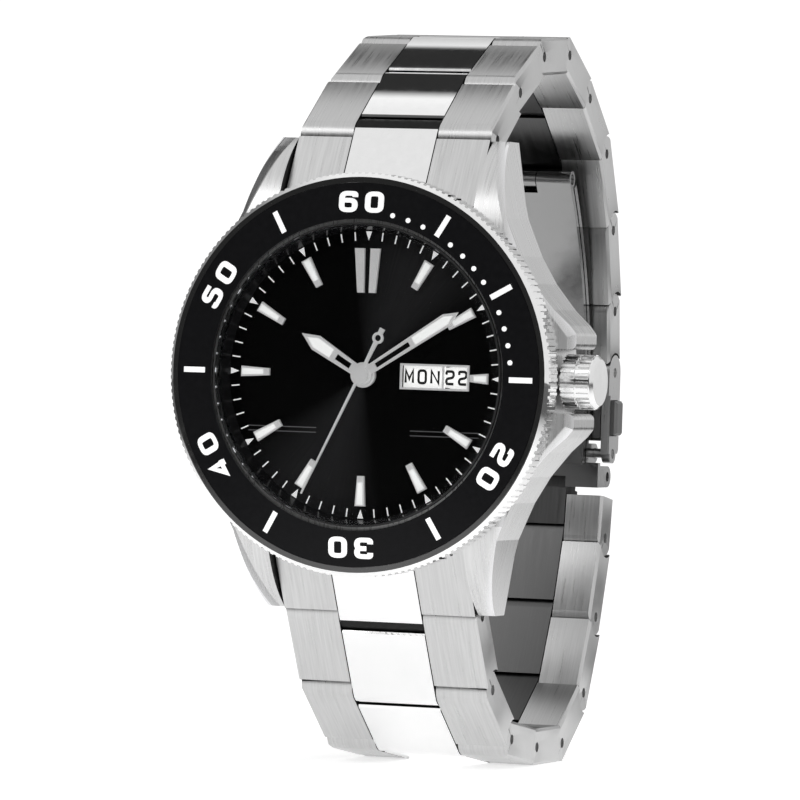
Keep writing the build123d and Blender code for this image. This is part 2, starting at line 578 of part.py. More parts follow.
def fold_blades():
    pin_y, pin_z = clasp_points()[1]
    end_y, end_z = pin_places(-1, LOWER_SLOPES)[-1]
    hinge_radius = BLADE_ARC_R - BLADE_LAYER_STEP / 2
    hinge_angle = math.asin((BLADE_HINGE_Z - ARC_CENTRE_Z) / hinge_radius)
    hinge_y = ARC_CENTRE_Y + hinge_radius * math.cos(hinge_angle)
    stop_angle = hinge_angle - math.radians(1.5)
    half = BLADE_HALF_WIDTH
    knuckle = 2.9
    hub = Pos(hinge_y, BLADE_HINGE_Z) * Circle(BLADE_HUB_R)
    bore = cyl_x(PIN_R + PIN_PLAY, -half - 1, half + 1, hinge_y, BLADE_HINGE_Z)
    hinge_pin = cyl_x(PIN_R, -half + 0.2, half - 0.2, hinge_y, BLADE_HINGE_Z)

    band = blade_band(0)
    outer = slab_x(band & blade_wedge(pin_z - 1.0, stop_angle), -half, half)
    outer += slab_x((band & blade_wedge(0, hinge_angle)) + hub, -knuckle, knuckle)
    arm = Pos((pin_y + ARM_FOOT_Y) / 2, pin_z) * Rectangle(pin_y - ARM_FOOT_Y, 2 * CLASP_HUB_R)
    outer += slab_x(arm + Pos(pin_y, pin_z) * Circle(CLASP_HUB_R), -half, half)
    relief = block(-RELIEF_HALF_WIDTH, RELIEF_HALF_WIDTH, pin_y - 8, pin_y + 3, pin_z - 3, pin_z + 0.4)
    outer -= relief - cyl_x(CLASP_HUB_R, -FAR, FAR, pin_y, pin_z)
    outer -= cyl_x(PIN_R + PIN_PLAY, -FAR, FAR, pin_y, pin_z)
    outer -= cyl_x(PIN_R, -FAR, FAR, hinge_y, BLADE_HINGE_Z)
    save("fold_blade_outer", first_solid(outer), hinge_pin)

    band = blade_band(1)
    ear_r = CLASP_HUB_R + 0.1
    inner = slab_x(band & blade_wedge(end_z + 1.2, stop_angle), -half, half)
    ear_start = OUTER_START + 0.15
    ear_end = COVER_HALF_WIDTH - 0.3
    top = slab_x((band & blade_wedge(0, hinge_angle)) + hub, knuckle + 0.1, half)
    foot_y = ARM_FOOT_Y - BLADE_LAYER_STEP
    arm = Pos((end_y + foot_y) / 2, end_z) * Rectangle(end_y - foot_y, 2 * ear_r)
    arm += Pos(end_y, end_z) * Circle(ear_r)
    ear = slab_x(arm - Pos(end_y, end_z) * Circle(PIN_R), ear_start, ear_end)
    for piece in (top, ear):
        inner += piece
        inner += mirror(piece, Plane.YZ)
    sill = Pos(foot_y + BLADE_THICKNESS / 2, end_z + 0.8) * Rectangle(BLADE_THICKNESS, 1.6)
    inner += slab_x(sill, -ear_end, ear_end)
    inner -= bore
    stub = cyl_x(PIN_R, ear_start, ear_end - PIN_RECESS, end_y, end_z)
    save("fold_blade_inner", first_solid(inner), stub, mirror(stub, Plane.YZ))


def save_all():
    os.makedirs("parts", exist_ok=True)
    case_parts()
    dial_parts()
    date_discs()
    movement_frame()
    movement_moving_parts()
    hands()
    bezel()
    crown_parts()
    end_links()
    bracelet_side("upper", 1, UPPER_SLOPES)
    bracelet_side("lower", -1, LOWER_SLOPES)
    clasp_cover()
    fold_blades()


save_all()
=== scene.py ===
"""Steel diver's wristwatch: materials, printing, lume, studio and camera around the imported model."""
import math
from collections import namedtuple

import bpy
from mathutils import Matrix, Vector


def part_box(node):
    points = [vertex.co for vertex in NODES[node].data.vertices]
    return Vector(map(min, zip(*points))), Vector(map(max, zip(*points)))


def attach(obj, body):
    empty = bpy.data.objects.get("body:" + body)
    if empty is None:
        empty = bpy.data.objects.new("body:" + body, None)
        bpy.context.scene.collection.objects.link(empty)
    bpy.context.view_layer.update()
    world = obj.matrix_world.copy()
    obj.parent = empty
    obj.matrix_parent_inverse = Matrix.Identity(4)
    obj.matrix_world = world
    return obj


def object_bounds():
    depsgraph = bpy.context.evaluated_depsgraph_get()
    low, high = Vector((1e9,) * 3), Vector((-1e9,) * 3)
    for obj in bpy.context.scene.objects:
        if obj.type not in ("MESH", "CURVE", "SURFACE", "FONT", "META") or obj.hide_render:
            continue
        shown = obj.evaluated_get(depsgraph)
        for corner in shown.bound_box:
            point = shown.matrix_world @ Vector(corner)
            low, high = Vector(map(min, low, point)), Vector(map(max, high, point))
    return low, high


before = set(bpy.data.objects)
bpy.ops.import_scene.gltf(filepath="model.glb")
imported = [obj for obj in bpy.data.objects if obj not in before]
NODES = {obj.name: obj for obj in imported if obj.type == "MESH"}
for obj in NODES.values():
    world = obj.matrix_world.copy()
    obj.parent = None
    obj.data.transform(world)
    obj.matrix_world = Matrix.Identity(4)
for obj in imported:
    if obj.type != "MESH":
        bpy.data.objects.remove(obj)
CAD_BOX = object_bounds()
MM = 0.001

# Heights of the watch head's surfaces, in millimetres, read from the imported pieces.
DIAL_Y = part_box("dial")[0].y / MM
INSERT_TOP_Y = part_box("bezel_insert")[0].y / MM
MARKER_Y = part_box("hour_markers")[0].y / MM
HOUR_HAND_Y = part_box("hour_hand")[0].y / MM
MINUTE_HAND_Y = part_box("minute_hand")[0].y / MM
DISC_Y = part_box("date_disc")[0].y / MM
PRINT = 0.03             # thickness of printed paint
LUME = 0.09              # thickness of luminous paint

# Lines that the case's polished edge follows on its right upper quarter, as (x, z) in millimetres. Beside
# the lugs they run up to 0.7 mm outside the steel, so the polish is narrower there.
LUG_TIP, LUG_KNEE, LUG_ROOT = (13.6, 25.2), (15.4, 17.0), (17.9, 10.0)
GUARD_ROOT, GUARD_CORNER = (16.6, 13.03), (22.6, 5.4)
GUARD_REACH = 22.9
LUG_WALL = 11.05         # from the middle of the watch to a lug's inner wall
WALL_FIT = 0.03          # how far a face on that wall may be from it

# The bracelet in the (y, z) plane: each row's direction from the lug outwards, in degrees.
LINK_SLOPES = {"upper": (55, 63, 86, 118, 129, 155, 166, 174), "lower": (31, 53, 82, 90, 124, 153, 160, 172)}
LINK_SIGN = {"upper": 1, "lower": -1}
END_LINK_SLOPE = 30
FIRST_PIN = (-0.2, 25.4)
PITCH, LAST_PITCH = 9.4, 7.0
LINK_R = 2.0             # a row's rounded end, about its pin
SEAT_R = 2.25            # the hollow that takes the next row's rounded end
CENTRE_EDGE = 4.73       # no corner of a row's centre piece is further out than this
SLOT_WALL = 5.0          # the side walls of the centre piece and of its slot are nearer than this
PIN_FACE = 1.15          # a pin's end is smaller than this
GROOVE = (4.65, 4.87)    # the grooves on both sides of an end link's centre
END_CENTRE_EDGE = 4.75   # no corner of an end link's centre is further out than this
ARC_FIT = 0.07           # how far a face on an arc may be from the arc's radius
GAP_DEPTH = 1.2          # a rounded end lies in shadow from this far past its pin
SIDEWAYS = 0.9           # a face looks sideways above this share of its normal along X
WRISTWARD = 0.75         # a face looks at the wrist above this share of its normal
DIALWARD = 0.35          # a face of the case is a top above this share of its normal along -Y


# ---------------------------------------------------------------- node helpers
NOISE_LOW, NOISE_HIGH = 0.3, 0.7     # noise seldom leaves this range


def new_material(name):
    material = bpy.data.materials.new(name)
    material.use_nodes = True
    tree = material.node_tree
    return material, tree, tree.nodes["Principled BSDF"]


def node(tree, kind, **settings):
    made = tree.nodes.new(kind)
    for key, value in settings.items():
        setattr(made, key, value)
    return made


def feed(tree, socket, value):
    """Link an input to another node's output, or set it to a plain value."""
    if isinstance(value, bpy.types.NodeSocket):
        tree.links.new(value, socket)
    else:
        socket.default_value = value


def math_node(tree, operation, *values):
    made = node(tree, "ShaderNodeMath", operation=operation)
    for index, value in enumerate(values):
        feed(tree, made.inputs[index], value)
    return made.outputs["Value"]


def mix(tree, share, first, second, blend="MIX"):
    """The second colour blended over the first by a share from 0 to 1."""
    made = node(tree, "ShaderNodeMixRGB", blend_type=blend)
    for name, value in (("Fac", share), ("Color1", first), ("Color2", second)):
        feed(tree, made.inputs[name], value)
    return made.outputs["Color"]


def map_range(tree, source, start, end, low=0.0, high=1.0, kind="LINEAR"):
    """A value that runs from low to high while its source runs from start to end."""
    made = node(tree, "ShaderNodeMapRange", interpolation_type=kind)
    for name, value in (("From Min", start), ("From Max", end), ("To Min", low), ("To Max", high)):
        made.inputs[name].default_value = value
    tree.links.new(source, made.inputs["Value"])
    return made.outputs["Result"]


def coordinates(tree, output):
    """The X, Y and Z sockets of one kind of texture coordinate."""
    coords = node(tree, "ShaderNodeTexCoord")
    split = node(tree, "ShaderNodeSeparateXYZ")
    tree.links.new(coords.outputs[output], split.inputs["Vector"])
    return split.outputs["X"], split.outputs["Y"], split.outputs["Z"]


def noise(tree, size, detail, stretch=(1, 1, 1)):
    """Noise in object coordinates, finer along an axis with more stretch."""
    coords = node(tree, "ShaderNodeTexCoord")
    mapping = node(tree, "ShaderNodeMapping")
    mapping.inputs["Scale"].default_value = stretch
    texture = node(tree, "ShaderNodeTexNoise")
    texture.inputs["Scale"].default_value = size
    texture.inputs["Detail"].default_value = detail
    texture.inputs["Roughness"].default_value = 0.55
    tree.links.new(coords.outputs["Object"], mapping.inputs["Vector"])
    tree.links.new(mapping.outputs["Vector"], texture.inputs["Vector"])
    return texture.outputs["Fac"]


def ramp(tree, source, stops):
    """A colour ramp from (position, grey or colour) stops."""
    made = node(tree, "ShaderNodeValToRGB")
    elements = made.color_ramp.elements
    while len(elements) < len(stops):
        elements.new(0.5)
    for element, (position, colour) in zip(elements, stops):
        element.position = position
        element.color = (colour, colour, colour, 1) if isinstance(colour, float) else (*colour, 1)
    tree.links.new(source, made.inputs["Fac"])
    return made.outputs["Color"]


def shades(tree, texture, dark, light):
    """The greys or colours between which noise wavers."""
    return ramp(tree, texture, ((NOISE_LOW, dark), (NOISE_HIGH, light)))


def wavering(tree, texture, low, high):
    """A number that wavers with noise."""
    return map_range(tree, texture, NOISE_LOW, NOISE_HIGH, low, high)


def bump(tree, height, distance, strength=1.0, under=None):
    """The normal of a face raised by a height times a distance in metres, over another bump."""
    made = node(tree, "ShaderNodeBump")
    made.inputs["Strength"].default_value = strength
    made.inputs["Distance"].default_value = distance
    tree.links.new(height, made.inputs["Height"])
    if under:
        tree.links.new(under, made.inputs["Normal"])
    return made.outputs["Normal"]


def set_surface(tree, shader, base, rough):
    feed(tree, shader.inputs["Base Color"], base)
    feed(tree, shader.inputs["Roughness"], rough)


# ---------------------------------------------------------------- materials
GRAIN_STRENGTH = 0.10
GRAIN_DEPTH = 0.00002    # metres, as are the next two
EDGE_DEPTH = 0.0007
ROW_BULGE = 0.00035
EDGE_WIDTH = 1.0         # the polish fades out this far inside its lines, in millimetres
OUTSIDE = 0.2            # and is full from this far outside them, in millimetres
FAR = 50.0               # beyond any distance on the case, in millimetres


def brushed(name, grain, colour=0.58, rough=(0.26, 0.38)):
    """Steel with a straight satin grain; grain gives the noise's stretch along each axis."""
    material, tree, shader = new_material(name)
    shader.inputs["Metallic"].default_value = 1.0
    streaks = noise(tree, 1.0, 4.0, grain)
    cloud = noise(tree, 140.0, 2.0)
    tint = shades(tree, streaks, colour * 0.90, colour * 1.08)
    clouded = mix(tree, 0.25, tint, shades(tree, cloud, 0.9, 1.0), "MULTIPLY")
    set_surface(tree, shader, clouded, wavering(tree, streaks, *rough))
    tree.links.new(bump(tree, streaks, GRAIN_DEPTH, GRAIN_STRENGTH), shader.inputs["Normal"])
    return material


def inside_line(tree, x, z, start, end):
    """Distance in millimetres to the inner side of a line through two (x, z) points."""
    along = Vector((end[0] - start[0], end[1] - start[1])).normalized()
    inward = Vector((-along.y, along.x))
    if inward.dot(Vector(start)) > 0:
        inward = -inward
    shift = -inward.dot(Vector(start))
    across = math_node(tree, "ADD", math_node(tree, "MULTIPLY", x, inward.x),
                       math_node(tree, "MULTIPLY", z, inward.y))
    return math_node(tree, "ADD", across, shift)


def depth_in_case(tree):
    """How far a place on the case's top lies inside the lines of its polished edge, in millimetres."""
    place_x, _, place_z = coordinates(tree, "Object")
    right = math_node(tree, "GREATER_THAN", place_x, 0.0)
    x = math_node(tree, "MULTIPLY", math_node(tree, "ABSOLUTE", place_x), 1 / MM)
    z = math_node(tree, "MULTIPLY", math_node(tree, "ABSOLUTE", place_z), 1 / MM)
    lug = math_node(tree, "MINIMUM", inside_line(tree, x, z, LUG_TIP, LUG_KNEE),
                    inside_line(tree, x, z, LUG_KNEE, LUG_ROOT))
    guard = math_node(tree, "MINIMUM", inside_line(tree, x, z, GUARD_ROOT, GUARD_CORNER),
                      math_node(tree, "SUBTRACT", GUARD_REACH, x))
    no_guard = math_node(tree, "MULTIPLY", math_node(tree, "SUBTRACT", 1.0, right), FAR)
    return math_node(tree, "MAXIMUM", lug, math_node(tree, "SUBTRACT", guard, no_guard))


def case_steel():
    """Satin lug tops grained from 12 to 6 o'clock, flanks grained round the case, polished outer edges."""
    material, tree, shader = new_material("steel_satin_case")
    shader.inputs["Metallic"].default_value = 1.0
    _, facing_y, _ = coordinates(tree, "Normal")
    is_top = math_node(tree, "GREATER_THAN", math_node(tree, "MULTIPLY", facing_y, -1.0), DIALWARD)
    is_flank = math_node(tree, "SUBTRACT", 1.0, is_top)
    top_grain = math_node(tree, "MULTIPLY", noise(tree, 1.0, 4.0, (5600, 200, 110)), is_top)
    flank_grain = math_node(tree, "MULTIPLY", noise(tree, 1.0, 4.0, (90, 4200, 90)), is_flank)
    grain = math_node(tree, "ADD", top_grain, flank_grain)
    inner = map_range(tree, depth_in_case(tree), -OUTSIDE, EDGE_WIDTH, kind="SMOOTHSTEP")
    edge = math_node(tree, "MULTIPLY", math_node(tree, "SUBTRACT", 1.0, inner), is_top)
    tint = mix(tree, edge, shades(tree, grain, 0.56, 0.68), (0.78, 0.78, 0.79, 1))
    gloss = math_node(tree, "SUBTRACT", 1.0, math_node(tree, "MULTIPLY", edge, 0.6))
    set_surface(tree, shader, tint, math_node(tree, "MULTIPLY", wavering(tree, grain, 0.24, 0.36), gloss))
    fine = bump(tree, grain, GRAIN_DEPTH, GRAIN_STRENGTH)
    rolled = bump(tree, math_node(tree, "SUBTRACT", 1.0, edge), EDGE_DEPTH, under=fine)
    tree.links.new(rolled, shader.inputs["Normal"])
    return material


def polished(name, colour=0.92, rough=(0.03, 0.08)):
    """Mirror-polished steel with faint handling marks."""
    material, tree, shader = new_material(name)
    shader.inputs["Metallic"].default_value = 1.0
    marks = noise(tree, 900.0, 6.0)
    set_surface(tree, shader, shades(tree, marks, colour * 0.96, colour), wavering(tree, marks, *rough))
    return material


def hand_steel():
    """Applied markers and hands: light steel with a faint painted glow that keeps it pale against the dial.
    """
    material, tree, shader = new_material("steel_hands")
    shader.inputs["Metallic"].default_value = 0.45
    grain = noise(tree, 1800.0, 3.0)
    set_surface(tree, shader, shades(tree, grain, 0.69, 0.73), wavering(tree, grain, 0.30, 0.36))
    # Painted light: the steel glows faintly white, though it is no lamp.
    shader.inputs["Emission Color"].default_value = (1, 1, 1, 1)
    shader.inputs["Emission Strength"].default_value = 0.16
    return material


def gloss_black(name, colour):
    material, tree, shader = new_material(name)
    dust = noise(tree, 1500.0, 5.0)
    dark = tuple(c * 0.8 for c in colour)
    set_surface(tree, shader, shades(tree, dust, dark, colour), wavering(tree, dust, 0.16, 0.24))
    shader.inputs["Specular IOR Level"].default_value = 0.10
    return material


def sunburst_dial():
    """Lacquered black metal with a fine radial grain, and a painted sheen: its colour is lighter in two
    opposite wedges, as if the grain caught the light there.
    """
    material, tree, shader = new_material("dial_sunburst_painted_sheen")
    x, _, z = coordinates(tree, "Object")
    angle = math_node(tree, "ARCTAN2", x, z)
    grain = node(tree, "ShaderNodeTexNoise", noise_dimensions="1D")
    grain.inputs["Scale"].default_value = 60.0
    grain.inputs["Detail"].default_value = 5.0
    tree.links.new(angle, grain.inputs["W"])
    # Painted sheen: the colour rises from near black to a lighter dark grey in two opposite wedges.
    wedges, turned = 2.0, -0.9
    phase = math_node(tree, "ADD", math_node(tree, "MULTIPLY", angle, wedges), turned)
    painted_light = ramp(tree, math_node(tree, "COSINE", phase), ((0.35, 0.002), (1.0, (0.022, 0.022, 0.023))))
    fine = shades(tree, grain.outputs["Fac"], 0.75, 1.0)
    set_surface(tree, shader, mix(tree, 1.0, painted_light, fine, "MULTIPLY"), 0.32)
    shader.inputs["Specular IOR Level"].default_value = 0.03
    return material


def paint(name, colour, painted_light=0.0):
    material, tree, shader = new_material(name)
    speckle = noise(tree, 3000.0, 4.0)
    dark = tuple(c * 0.93 for c in colour)
    set_surface(tree, shader, shades(tree, speckle, dark, colour), wavering(tree, speckle, 0.35, 0.5))
    # Painted light: the paint glows in its own colour to brighten it against shade.
    if painted_light:
        shader.inputs["Emission Color"].default_value = (*colour, 1)
        shader.inputs["Emission Strength"].default_value = painted_light
    return material


def clear_crystal():
    """Clear flat crystal: it shows only what its surface reflects, more so at a slant."""
    material, tree, shader = new_material("crystal_clear")
    smear = noise(tree, 120.0, 2.0)
    set_surface(tree, shader, (0.95, 0.97, 1.0, 1), wavering(tree, smear, 0.12, 0.18))
    shader.inputs["Metallic"].default_value = 1.0
    fresnel = node(tree, "ShaderNodeFresnel")
    fresnel.inputs["IOR"].default_value = 1.15
    tree.links.new(fresnel.outputs["Fac"], shader.inputs["Alpha"])
    return material


def seal_rubber():
    material, tree, shader = new_material("seal_rubber_black")
    grain = noise(tree, 2500.0, 5.0)
    set_surface(tree, shader, shades(tree, grain, 0.012, 0.03), wavering(tree, grain, 0.55, 0.75))
    tree.links.new(bump(tree, grain, 0.00003, 0.3), shader.inputs["Normal"])
    return material


def striped_plating():
    """Plated movement metal with broad decorative stripes."""
    material, tree, shader = new_material("movement_plated")
    shader.inputs["Metallic"].default_value = 1.0
    coords = node(tree, "ShaderNodeTexCoord")
    wave = node(tree, "ShaderNodeTexWave", wave_type="BANDS", bands_direction="DIAGONAL")
    wave.inputs["Scale"].default_value = 180.0
    wave.inputs["Distortion"].default_value = 0.6
    tree.links.new(coords.outputs["Object"], wave.inputs["Vector"])
    stripes = wave.outputs["Fac"]
    colour = 0.62
    set_surface(tree, shader, ramp(tree, stripes, ((0.2, colour * 0.7), (0.8, colour))),
                wavering(tree, stripes, 0.2, 0.34))
    return material


def pillow(material):
    """Bend the shading across each bracelet row as if its faces bulged."""
    tree = material.node_tree
    normal = tree.nodes["Principled BSDF"].inputs["Normal"]
    share = node(tree, "ShaderNodeAttribute", attribute_name="along_row")
    off = math_node(tree, "SUBTRACT", share.outputs["Fac"], 0.5)
    height = math_node(tree, "MULTIPLY", math_node(tree, "MULTIPLY", off, off), -4.0)     # 0 to -1
    under = normal.links[0].from_socket if normal.is_linked else None
    tree.links.new(bump(tree, height, ROW_BULGE, under=under), normal)
    return material


LENGTHWISE = (5200, 150, 150)    # grain runs along the bracelet, fine across it
STEEL_SATIN = brushed("steel_satin_lengthwise", LENGTHWISE)
ROW_SATIN = pillow(brushed("steel_satin_row", LENGTHWISE))
ROW_POLISHED = pillow(polished("steel_polished_row", colour=0.90))
STEEL_CASE = case_steel()
STEEL_BACK = brushed("steel_satin_back", (90, 4200, 90))
# Painted shade: near-black steel for the centre pieces' faces towards the wrist, which lie in shade inside
# the bracelet.
STEEL_INNER_SHADE = brushed("steel_inner_painted_shade", LENGTHWISE, colour=0.13, rough=(0.30, 0.42))
STEEL_CROWN = polished("steel_crown", colour=0.86, rough=(0.14, 0.22))
STEEL_HANDS = hand_steel()
STEEL_POLISHED = polished("steel_polished")
# Painted shade: the clasp's polished fold blades are darkened to a deep grey for the shade they lie in.
STEEL_BLADE_SHADED = polished("steel_polished_blade_painted_shade", colour=0.30, rough=(0.08, 0.16))
STEEL_GAP = brushed("steel_gap_shadow", (2000, 2000, 2000), colour=0.03, rough=(0.5, 0.7))
STEEL_PIN = brushed("steel_pin_ends", (4000, 4000, 4000), colour=0.22, rough=(0.35, 0.5))
STEEL_BUTTON = brushed("steel_button", (300, 9000, 300), colour=0.20, rough=(0.3, 0.45))
INSERT_BLACK = gloss_black("insert_gloss_black", (0.010, 0.010, 0.011))
REHAUT_BLACK = gloss_black("rehaut_black", (0.014, 0.014, 0.015))
DIAL_BLACK = sunburst_dial()
# White prints, lume and calendar discs get a painted glow that brightens them against the shade of the dark
# room and of their recesses; the discs, sunk below the dial, glow most.
WHITE_PRINT = paint("white_print", (0.90, 0.90, 0.90), painted_light=0.45)
GREY_PRINT = paint("grey_print", (0.12, 0.12, 0.125))
BLACK_PRINT = paint("black_print", (0.01, 0.01, 0.01))
LUME_WHITE = paint("lume_white", (0.90, 0.91, 0.90), painted_light=0.40)
DISC_WHITE = paint("disc_white", (0.88, 0.88, 0.87), painted_light=0.70)
CRYSTAL = clear_crystal()
RUBBER = seal_rubber()
PLATED = striped_plating()
GILT = polished("movement_gilt", rough=(0.15, 0.25))
HOLDER = paint("holder_moulded", (0.6, 0.6, 0.57))

NODE_MATERIALS = {
    "crown_tube": STEEL_POLISHED, "crystal": CRYSTAL, "crystal_gasket": RUBBER,
    "rehaut_ring": REHAUT_BLACK, "dial": DIAL_BLACK, "hour_markers": STEEL_HANDS,
    "date_window_frame": STEEL_HANDS, "bezel_click_spring": STEEL_POLISHED, "case_back_ring": STEEL_BACK,
    "case_back_gasket": RUBBER, "case_back_glass": CRYSTAL, "movement_holder": HOLDER, "main_plate": PLATED,
    "train_bridge": PLATED, "rotor_post": STEEL_POLISHED, "spring_bars": STEEL_POLISHED,
    "bezel_ring": STEEL_POLISHED, "bezel_insert": INSERT_BLACK, "setting_lever": STEEL_POLISHED,
    "crown": STEEL_CROWN, "crown_stem": STEEL_POLISHED, "crown_gasket": RUBBER,
    "hour_hand": STEEL_HANDS, "minute_hand": STEEL_HANDS, "seconds_hand": STEEL_HANDS,
    "date_disc": DISC_WHITE, "day_disc": DISC_WHITE, "balance_wheel": GILT, "pallet_fork": STEEL_POLISHED,
    "escape_wheel": STEEL_POLISHED, "rotor": PLATED, "clasp_cover": STEEL_SATIN,
    "fold_blade_outer": STEEL_BLADE_SHADED, "fold_blade_inner": STEEL_BLADE_SHADED,
    "push_button_right": STEEL_BUTTON, "push_button_left": STEEL_BUTTON,
}


# ---------------------------------------------------------------- finishes within one piece
# A row's own pin; its direction and those of the rows before and after it; outward; length between pins.
Row = namedtuple("Row", "pin along before after outward pitch")


def dress(piece, materials, choose=None):
    """Give a piece its materials and, when there are several, each face the one chosen for it."""
    piece.data.materials.clear()
    for material in materials:
        piece.data.materials.append(material)
    if choose:
        for polygon in piece.data.polygons:
            polygon.material_index = materials.index(choose(polygon))


def in_mm(mesh, polygon):
    """A face's corners and their middle, in millimetres."""
    corners = [mesh.vertices[v].co / MM for v in polygon.vertices]
    return corners, sum(corners, Vector()) / len(corners)


def row_of(name):
    side, number = name.split("_row_")
    here = int(number)
    sign = LINK_SIGN[side]
    slopes = (END_LINK_SLOPE,) + LINK_SLOPES[side] + LINK_SLOPES[side][-1:]
    along = [Vector((math.sin(math.radians(s)), sign * math.cos(math.radians(s)))) for s in slopes]
    first = Vector((FIRST_PIN[0], sign * FIRST_PIN[1]))
    pin = first + sum((PITCH * step for step in along[1:here]), Vector((0, 0)))
    outward = sign * Vector((-along[here].y, along[here].x))
    pitch = PITCH if here < len(LINK_SLOPES[side]) else LAST_PITCH
    return Row(pin, along[here], along[here - 1], along[here + 1], outward, pitch)


def row_material(mesh, polygon, row):
    """Satin outer pieces, a polished centre piece, dark pin ends, painted shade on the centre's faces
    towards the wrist, and shadowed gaps.
    """
    corners, centre = in_mm(mesh, polygon)
    if abs(polygon.normal.x) > SIDEWAYS:
        size = max(max(c[i] for c in corners) - min(c[i] for c in corners) for i in (1, 2))
        if abs(centre.x) < SLOT_WALL:
            return STEEL_GAP
        return STEEL_PIN if size < PIN_FACE else ROW_SATIN
    middle = all(abs(c.x) < CENTRE_EDGE for c in corners)
    # Painted shade: a centre piece's faces towards the wrist take the near-black steel.
    if Vector((polygon.normal.y, polygon.normal.z)).dot(row.outward) < -WRISTWARD:
        return STEEL_INNER_SHADE if middle else ROW_SATIN
    from_pin = Vector((centre.y, centre.z)) - row.pin
    from_next = from_pin - row.along * row.pitch
    # The centre piece has its seat at its own pin and its rounded end at the next one, the outer pieces
    # the other way round.
    if middle:
        seat, rounded_end, past_pin = from_pin, from_next, from_next.dot(row.after)
    else:
        seat, rounded_end, past_pin = from_next, from_pin, -from_pin.dot(row.before)
    if abs(seat.length - SEAT_R) < ARC_FIT:
        return STEEL_GAP
    if abs(rounded_end.length - LINK_R) < ARC_FIT and past_pin > GAP_DEPTH:
        return STEEL_GAP
    return ROW_POLISHED if middle else ROW_SATIN


def finish_row(name, piece):
    """The row's materials, and each vertex's place between its two pins, from 0 to 1."""
    mesh = piece.data
    row = row_of(name)
    dress(piece, (ROW_SATIN, ROW_POLISHED, STEEL_PIN, STEEL_INNER_SHADE, STEEL_GAP),
          lambda polygon: row_material(mesh, polygon, row))
    share = mesh.attributes.new("along_row", "FLOAT", "POINT")
    for vertex in mesh.vertices:
        from_pin = Vector((vertex.co.y, vertex.co.z)) / MM - row.pin
        share.data[vertex.index].value = min(1.0, max(0.0, from_pin.dot(row.along) / row.pitch))


def end_link_material(mesh, polygon):
    """Satin sides, a polished centre, and shadowed walls at the lugs, in the grooves and at the seat."""
    corners, centre = in_mm(mesh, polygon)
    nearest, furthest = min(abs(c.x) for c in corners), max(abs(c.x) for c in corners)
    from_seat = (Vector((centre.y, abs(centre.z))) - Vector(FIRST_PIN)).length
    in_groove = nearest > GROOVE[0] and furthest < GROOVE[1]
    in_seat = nearest > GROOVE[0] and abs(from_seat - SEAT_R) < ARC_FIT
    if abs(polygon.normal.x) > SIDEWAYS or in_groove or in_seat:
        return STEEL_GAP
    return STEEL_POLISHED if furthest < END_CENTRE_EDGE else STEEL_SATIN


def case_material(polygon):
    """Grained steel, with shadowed walls inside the lugs."""
    at_wall = abs(abs(polygon.center.x) / MM - LUG_WALL) < WALL_FIT
    return STEEL_GAP if at_wall and abs(polygon.normal.x) > SIDEWAYS else STEEL_CASE


def finish_nodes():
    for name, piece in NODES.items():
        if "_row_" in name:
            finish_row(name, piece)
        elif name == "end_links":
            dress(piece, (STEEL_SATIN, STEEL_POLISHED, STEEL_GAP),
                  lambda polygon: end_link_material(piece.data, polygon))
        elif name == "mid_case":
            dress(piece, (STEEL_CASE, STEEL_GAP), case_material)
        else:
            dress(piece, (NODE_MATERIALS[name],))


# ---------------------------------------------------------------- flat shapes on the watch head
def piece_from(name, vertices, faces, material, body):
    """A mesh piece from points in millimetres that rides on a body."""
    mesh = bpy.data.meshes.new(name)
    mesh.from_pydata([tuple(c * MM for c in v) for v in vertices], [], faces)
    mesh.materials.append(material)
    mesh.validate()
    mesh.update()
    piece = bpy.data.objects.new(name, mesh)
    bpy.context.scene.collection.objects.link(piece)
    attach(piece, body)


class Sheet:
    """Collects thin raised shapes that all lie on one surface, facing -Y."""

    def __init__(self, surface, height):
        self.surface = surface
        self.height = height
        self.vertices = []
        self.faces = []

    def outline(self, points):
        """Add one shape from its outline of (x, z) points, which may run either way round."""
        area = sum(a[0] * b[1] - b[0] * a[1] for a, b in zip(points, points[1:] + points[:1]))
        if area < 0:
            points = points[::-1]
        start, count = len(self.vertices), len(points)
        for x, z in points:
            self.vertices.append((x, self.surface(x, z) - self.height, z))
        for x, z in points:
            self.vertices.append((x, self.surface(x, z) + 0.01, z))
        self.faces.append(list(range(start, start + count)))
        self.faces.append(list(range(start + 2 * count - 1, start + count - 1, -1)))
        for i in range(count):
            j = (i + 1) % count
            self.faces.append([start + i, start + count + i, start + count + j, start + j])

    def make(self, name, material, body):
        piece_from(name, self.vertices, self.faces, material, body)


def turn(points, degrees):
    """Turn (x, z) points clockwise about the hands' axis, as seen from the front."""
    c, s = math.cos(math.radians(degrees)), math.sin(math.radians(degrees))
    return [(x * c + z * s, -x * s + z * c) for x, z in points]


def flat(y):
    return lambda x, z: y


def insert_surface(x, z):
    """Height of the bezel insert's face, which falls away from its inner edge to its outer one."""
    inner_radius, width, fall = 16.45, 3.85, 0.4
    return INSERT_TOP_Y + fall * (math.hypot(x, z) - inner_radius) / width


def circle(x, z, radius, count=20):
    return [(x + radius * math.cos(2 * math.pi * i / count), z + radius * math.sin(2 * math.pi * i / count))
            for i in range(count)]


def bar(half, inner, outer, outer_half=None):
    """A bar that points at 12 o'clock, with its half-width and where it starts and ends."""
    end = outer_half or half
    return [(-half, inner), (half, inner), (end, outer), (-end, outer)]


